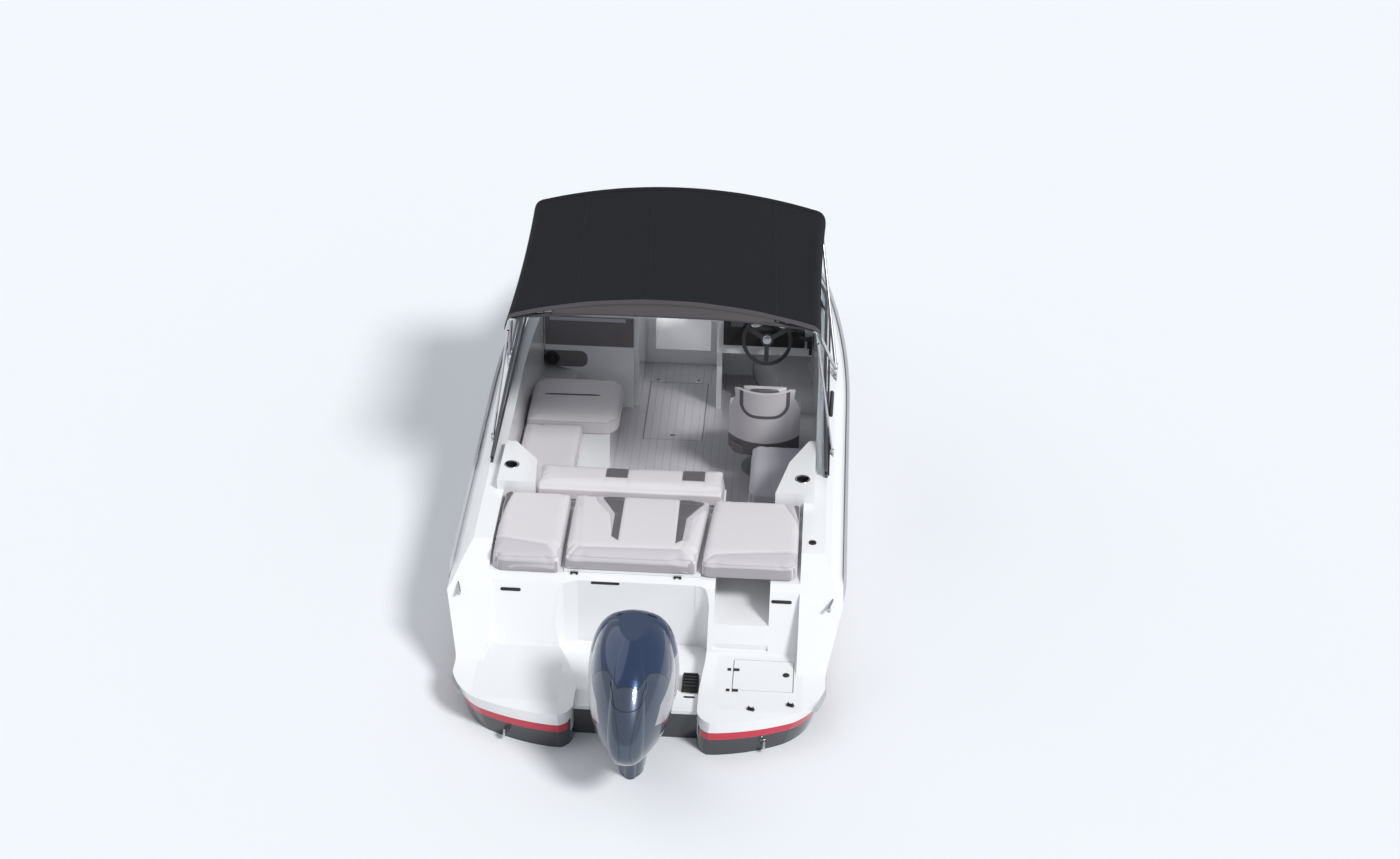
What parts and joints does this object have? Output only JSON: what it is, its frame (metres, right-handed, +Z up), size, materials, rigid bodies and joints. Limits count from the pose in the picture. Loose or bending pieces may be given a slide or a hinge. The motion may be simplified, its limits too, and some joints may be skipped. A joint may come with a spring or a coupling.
{
  "type": "outboard bowrider speedboat",
  "caption": "Open outboard speedboat with bow seating, cockpit lounge, walk-through windshield, folding top, sun pads, swim platforms and a tilting, steering outboard motor.",
  "frame": {"origin": "on the water's surface on the centreline, at the aft edge of the swim platforms' inner corners", "axes": "+X forward to the bow, +Y to port, +Z up from the water"},
  "size_m": [7.1378, 2.64, 2.7748],
  "materials": {
    "gelcoat": "polished gelcoat",
    "rail": "satin extruded rail",
    "floor": "grooved foam deck mat",
    "vinyl_light": "grained marine vinyl",
    "vinyl_mid": "grained marine vinyl",
    "console": "satin moulded panel",
    "dash": "fine grained panel",
    "trim_black": "soft touch moulding",
    "frame_metal": "anodised",
    "glass": "clear tinted",
    "canvas": "woven acrylic canvas",
    "tube": "polished tube",
    "motor_metal": "enamel",
    "cowl": "metallic lacquer",
    "cowl_gloss": "high gloss lacquer",
    "cowl_silver": "silver lacquer",
    "cast_block": "cast",
    "steel": "polished"
  },
  "bodies": {
    "boat": {"hull_pods": "gelcoat", "hull_bottom": "gelcoat", "hull_middle": "gelcoat", "hull_quarters": "gelcoat", "hull_sides": "gelcoat", "hull_bow": "gelcoat", "aft_deck": "gelcoat", "deck_quarters": "gelcoat", "side_decks": "gelcoat", "foredeck": "gelcoat", "cockpit_wings": "gelcoat", "light_socket": "trim_black", "rub_rail": "rail", "cockpit_sole": "floor", "lounge_base": "gelcoat", "jump_seat_base": "gelcoat", "bench_cushion": "vinyl_light", "companion_cushion": "vinyl_light", "jump_cushion": "vinyl_mid", "bench_roll": "vinyl_light", "sunpad_port": "vinyl_light", "sunpad_starboard": "vinyl_light", "port_console": "console", "helm_console": "console", "dash_panel": "dash", "steering_column": "trim_black", "throttle": "trim_black", "windshield_frame": "frame_metal", "windshield_glass": "glass", "bow_cushions": "vinyl_light", "bow_backrests": "vinyl_light", "helm_pedestal": "frame_metal", "bimini_canopy": "canvas", "bimini_front_bow": "tube", "bimini_rear_bow": "tube", "bimini_braces": "tube", "clamp_bracket": "motor_metal", "cleats": "steel", "tow_eyes": "steel"},
    "sun_hatch": {"sunpad_hatch": "gelcoat", "sunpad_middle": "vinyl_light"},
    "glovebox_door": {"glovebox_lid": "console"},
    "locker_hatch": {"locker_lid": "floor"},
    "ladder_hatch": {"ladder_lid": "gelcoat"},
    "wheel": {"steering_wheel": "trim_black"},
    "wind_door": {"windshield_door": "frame_metal", "windshield_door_glass": "glass"},
    "helm_seat": {"helm_seat_shell": "vinyl_mid", "helm_seat_cushion": "vinyl_light"},
    "motor_tilt": {"swivel_bracket": "motor_metal"},
    "motor": {"engine_leg": "motor_metal", "gearcase": "motor_metal", "engine_cowl": "cowl", "cowl_cap": "cowl_gloss", "cowl_flanks": "cowl_silver", "powerhead": "cast_block"},
    "prop": {"propeller": "steel"}
  },
  "joints": [
    {"name": "sun_hatch_hinge", "type": "hinge", "parent": "boat", "child": "sun_hatch", "pos_m": [1.068, 0.09, 0.663], "axis": [0, -1, 0], "range_deg": [0, 75]},
    {"name": "glovebox_hinge", "type": "hinge", "parent": "boat", "child": "glovebox_door", "pos_m": [4.232, 0.68, 0.58], "axis": [0, -1, 0], "range_deg": [0, 80]},
    {"name": "locker_hinge", "type": "hinge", "parent": "boat", "child": "locker_hatch", "pos_m": [4.684, 0.005, 0.02], "axis": [0, 1, 0], "range_deg": [0, 95]},
    {"name": "ladder_lid_hinge", "type": "hinge", "parent": "boat", "child": "ladder_hatch", "pos_m": [0.575, -0.61, 0.262], "axis": [-1, 0, 0], "range_deg": [0, 100]},
    {"name": "wheel_turn", "type": "hinge", "parent": "boat", "child": "wheel", "pos_m": [4.105, -0.685, 0.77], "axis": [-0.8829, 0, 0.4695], "range_deg": [-545, 545]},
    {"name": "wind_door_hinge", "type": "hinge", "parent": "boat", "child": "wind_door", "pos_m": [4.8522, 0.2935, 1], "axis": [-0.6081, 0, 0.7939], "range_deg": [0, 150]},
    {"name": "helm_seat_swivel", "type": "hinge", "parent": "boat", "child": "helm_seat", "pos_m": [3.485, -0.7, 0.275], "axis": [0, 0, 1], "range_deg": [-180, 180]},
    {"name": "motor_tilt_hinge", "type": "hinge", "parent": "boat", "child": "motor_tilt", "pos_m": [0.165, 0, 0.285], "axis": [0, 1, 0], "range_deg": [0, 62]},
    {"name": "motor_steer", "type": "hinge", "parent": "motor_tilt", "child": "motor", "pos_m": [0.082, 0, 0.05], "axis": [0, 0, 1], "range_deg": [-30, 30]},
    {"name": "prop_spin", "type": "hinge", "parent": "motor", "child": "prop", "pos_m": [-0.252, 0, -0.625], "axis": [1, 0, 0], "continuous": true}
  ],
  "couplings": [
    {"joint": "wheel_turn", "follows": "motor_steer", "ratio": -18}
  ]
}
